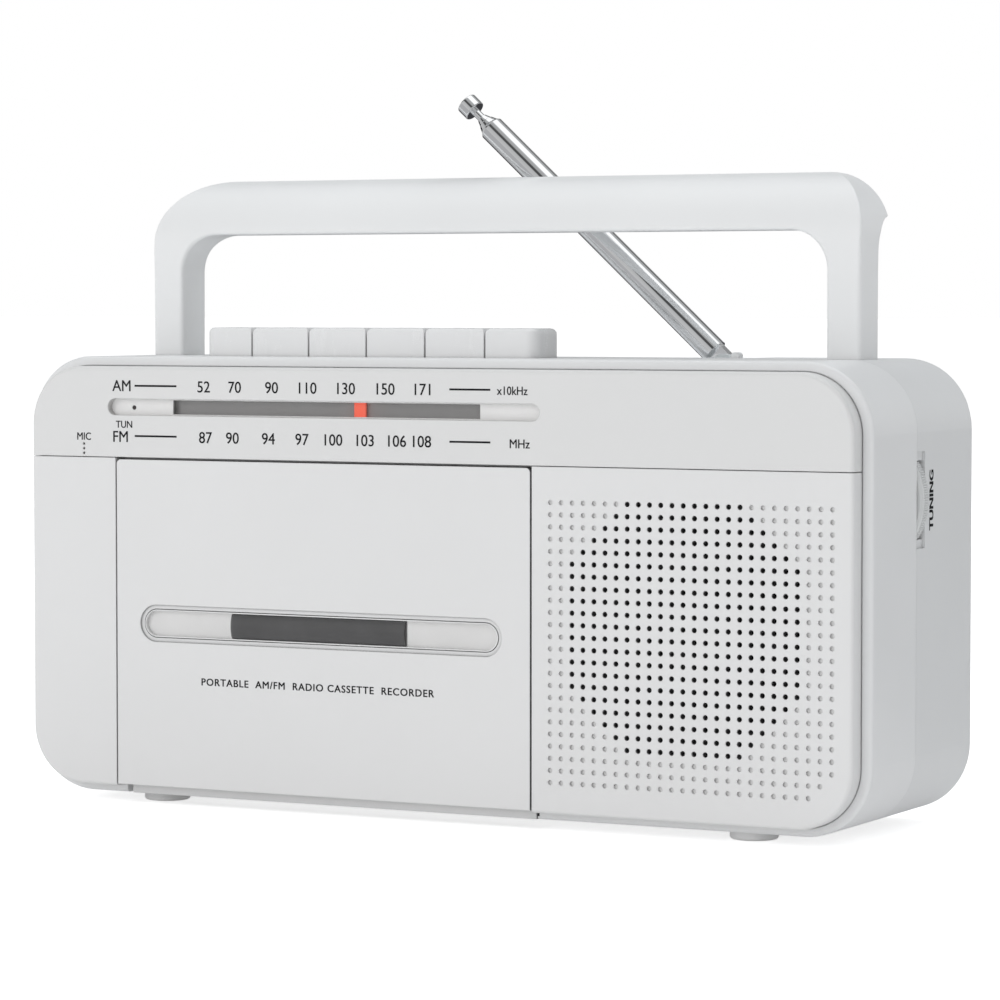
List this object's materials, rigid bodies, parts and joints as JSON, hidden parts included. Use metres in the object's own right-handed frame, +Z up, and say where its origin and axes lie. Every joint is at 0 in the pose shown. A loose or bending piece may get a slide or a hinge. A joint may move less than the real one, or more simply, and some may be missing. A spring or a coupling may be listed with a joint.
{
  "type": "portable radio cassette recorder",
  "caption": "Portable radio cassette recorder: rounded white case with fixed arch handle, hinged cassette door, top keys, tuning dial, speaker grille and telescopic antenna.",
  "frame": {"origin": "on the surface it stands on, midway between its sides and between the front fascia and the back", "axes": "+X to the right seen from the front, +Y to the back, +Z up"},
  "size_m": [0.2426, 0.07, 0.1853],
  "materials": {
    "white_shell": "satin moulded",
    "white_fascia": "satin moulded",
    "white_handle": "satin moulded",
    "white_key": "satin moulded",
    "wheel_plastic": "satin, ribbed",
    "clear_lens": "polished clear",
    "window_mask": "glossy white",
    "dial_dark": "dark grey print",
    "pointer_orange": "bright orange",
    "led_lens": "dark red lens",
    "black_plastic": "fine texture",
    "steel": "zinc plated",
    "brass": "turned",
    "nylon": "natural nylon",
    "rubber": "moulded",
    "foot_pad": "moulded pale grey",
    "paper": "pressed paper",
    "cord": "braided",
    "board": "printed circuit",
    "ferrite": "sintered",
    "chrome": "polished",
    "knuckle": "pale grey lacquer"
  },
  "bodies": {
    "case": {"front_case": "white_shell", "rear_case": "white_shell", "dial_panel": "white_fascia", "left_trim_panel": "white_fascia", "speaker_grille_panel": "white_fascia", "feet": "foot_pad", "case_screws": "steel", "door_hinge_pins": "steel", "dial_window": "clear_lens", "dial_backplate": "window_mask", "dial_scale_strip": "dial_dark", "tuning_led": "led_lens", "dial_cord": "cord", "dial_cord_guides": "black_plastic", "tuner_bracket": "steel", "tuning_capacitor": "black_plastic", "volume_pot": "black_plastic", "speaker_driver": "steel", "speaker_cone": "paper", "cassette_well": "black_plastic", "mechanism_chassis": "steel", "motor": "steel", "drive_belt": "rubber", "ac_inlet": "black_plastic", "earphone_jack": "black_plastic", "transformer": "steel", "main_pcb": "board", "ferrite_rod": "ferrite", "battery_contacts": "steel", "microphone": "black_plastic", "carry_handle": "white_handle"},
    "door": {"cassette_door": "white_fascia", "door_window": "clear_lens", "door_window_mask": "window_mask", "cassette_holder": "white_shell"},
    "pointer": {"dial_pointer": "pointer_orange"},
    "tuning": {"tuning_wheel": "wheel_plastic", "tuning_spindle": "nylon"},
    "capacitor_rotor": {"capacitor_gear": "nylon"},
    "volume": {"volume_wheel": "wheel_plastic"},
    "band_switch": {"band_switch_knob": "wheel_plastic"},
    "record_button": {"record_key": "white_key"},
    "play_button": {"play_key": "white_key"},
    "rewind_button": {"rewind_key": "white_key"},
    "fast_forward_button": {"fast_forward_key": "white_key"},
    "stop_eject_button": {"stop_eject_key": "white_key"},
    "pause_button": {"pause_key": "white_key"},
    "flywheel_rotor": {"flywheel": "brass"},
    "motor_rotor": {"motor_pulley": "brass"},
    "supply_rotor": {"supply_reel": "black_plastic"},
    "takeup_rotor": {"takeup_reel": "black_plastic"},
    "head_slide": {"head_plate": "steel", "tape_heads": "steel"},
    "roller": {"pinch_roller": "rubber"},
    "antenna_base": {"antenna_swivel": "knuckle"},
    "antenna_outer": {"antenna_tube_outer": "chrome"},
    "antenna_inner": {"antenna_tube_inner": "chrome"},
    "antenna_upper": {"antenna_tube_upper": "chrome"},
    "antenna_end": {"antenna_tip": "chrome"},
    "battery_hatch": {"battery_door": "white_shell"}
  },
  "joints": [
    {"name": "door_hinge", "type": "hinge", "parent": "case", "child": "door", "pos_m": [-0.03, -0.0285, 0.007], "axis": [1, 0, 0], "range_deg": [0, 36]},
    {"name": "tuning_turn", "type": "hinge", "parent": "case", "child": "tuning", "pos_m": [0.1033, 0, 0.0825], "axis": [0, -1, 0], "range_deg": [-234.5, 144.9]},
    {"name": "pointer_slide", "type": "slide", "parent": "case", "child": "pointer", "axis": [1, 0, 0], "range_m": [-0.0529, 0.0327]},
    {"name": "capacitor_turn", "type": "hinge", "parent": "case", "child": "capacitor_rotor", "pos_m": [0.0843, 0.006, 0.0825], "axis": [0, -1, 0], "range_deg": [-67.5, 109]},
    {"name": "volume_turn", "type": "hinge", "parent": "case", "child": "volume", "pos_m": [-0.1033, 0, 0.0825], "axis": [0, -1, 0], "range_deg": [0, 270]},
    {"name": "band_switch_slide", "type": "slide", "parent": "case", "child": "band_switch", "axis": [0, 0, 1], "range_m": [-0.0035, 0.0035]},
    {"name": "flywheel_spin", "type": "hinge", "parent": "case", "child": "flywheel_rotor", "pos_m": [-0.0005, -0.006, 0.0748], "axis": [0, 1, 0], "continuous": true},
    {"name": "motor_spin", "type": "hinge", "parent": "case", "child": "motor_rotor", "pos_m": [-0.066, -0.006, 0.08], "axis": [0, 1, 0], "continuous": true},
    {"name": "supply_spin", "type": "hinge", "parent": "case", "child": "supply_rotor", "pos_m": [-0.05125, -0.012, 0.0475], "axis": [0, 1, 0], "continuous": true},
    {"name": "takeup_spin", "type": "hinge", "parent": "case", "child": "takeup_rotor", "pos_m": [-0.00875, -0.012, 0.0475], "axis": [0, 1, 0], "continuous": true},
    {"name": "head_plate_slide", "type": "slide", "parent": "case", "child": "head_slide", "axis": [0, 0, -1], "range_m": [0, 0.005], "stiffness_N_per_m": 300, "springref_m": -0.003},
    {"name": "roller_spin", "type": "hinge", "parent": "head_slide", "child": "roller", "pos_m": [-0.0005, -0.023, 0.0868], "axis": [0, 1, 0], "continuous": true},
    {"name": "antenna_swivel_turn", "type": "hinge", "parent": "case", "child": "antenna_base", "pos_m": [0.05595, 0.0266, 0.108], "axis": [0, 0, 1], "range_deg": [-90, 0]},
    {"name": "antenna_tilt", "type": "hinge", "parent": "antenna_base", "child": "antenna_outer", "pos_m": [0.05595, 0.0266, 0.11448], "axis": [0, 1, 0], "range_deg": [-42.1, 47.9]},
    {"name": "antenna_slide_inner", "type": "slide", "parent": "antenna_outer", "child": "antenna_inner", "axis": [-0.742, 0, 0.6704], "range_m": [0, 0.076]},
    {"name": "antenna_slide_upper", "type": "slide", "parent": "antenna_inner", "child": "antenna_upper", "axis": [-0.742, 0, 0.6704], "range_m": [0, 0.076]},
    {"name": "antenna_slide_tip", "type": "slide", "parent": "antenna_upper", "child": "antenna_end", "axis": [-0.742, 0, 0.6704], "range_m": [0, 0.076]},
    {"name": "battery_hatch_hinge", "type": "hinge", "parent": "case", "child": "battery_hatch", "pos_m": [0, 0.034, 0.0089], "axis": [-1, 0, 0], "range_deg": [0, 75]},
    {"name": "record_press", "type": "slide", "parent": "case", "child": "record_button", "axis": [0, 0, -1], "range_m": [0, 0.004], "stiffness_N_per_m": 150, "springref_m": -0.002},
    {"name": "rewind_press", "type": "slide", "parent": "case", "child": "rewind_button", "axis": [0, 0, -1], "range_m": [0, 0.004], "stiffness_N_per_m": 150, "springref_m": -0.002},
    {"name": "fast_forward_press", "type": "slide", "parent": "case", "child": "fast_forward_button", "axis": [0, 0, -1], "range_m": [0, 0.004], "stiffness_N_per_m": 150, "springref_m": -0.002},
    {"name": "stop_eject_press", "type": "slide", "parent": "case", "child": "stop_eject_button", "axis": [0, 0, -1], "range_m": [0, 0.004], "stiffness_N_per_m": 150, "springref_m": -0.002},
    {"name": "pause_press", "type": "slide", "parent": "case", "child": "pause_button", "axis": [0, 0, -1], "range_m": [0, 0.004], "stiffness_N_per_m": 150, "springref_m": -0.002},
    {"name": "play_press", "type": "slide", "parent": "case", "child": "play_button", "axis": [0, 0, -1], "range_m": [0, 0.004]}
  ],
  "couplings": [
    {"joint": "pointer_slide", "follows": "tuning_turn", "m_per_rad": 0.0129},
    {"joint": "capacitor_turn", "follows": "tuning_turn", "ratio": -0.46154},
    {"joint": "motor_spin", "follows": "flywheel_spin", "ratio": 5.507},
    {"joint": "play_press", "follows": "head_plate_slide", "ratio": 0.8}
  ]
}
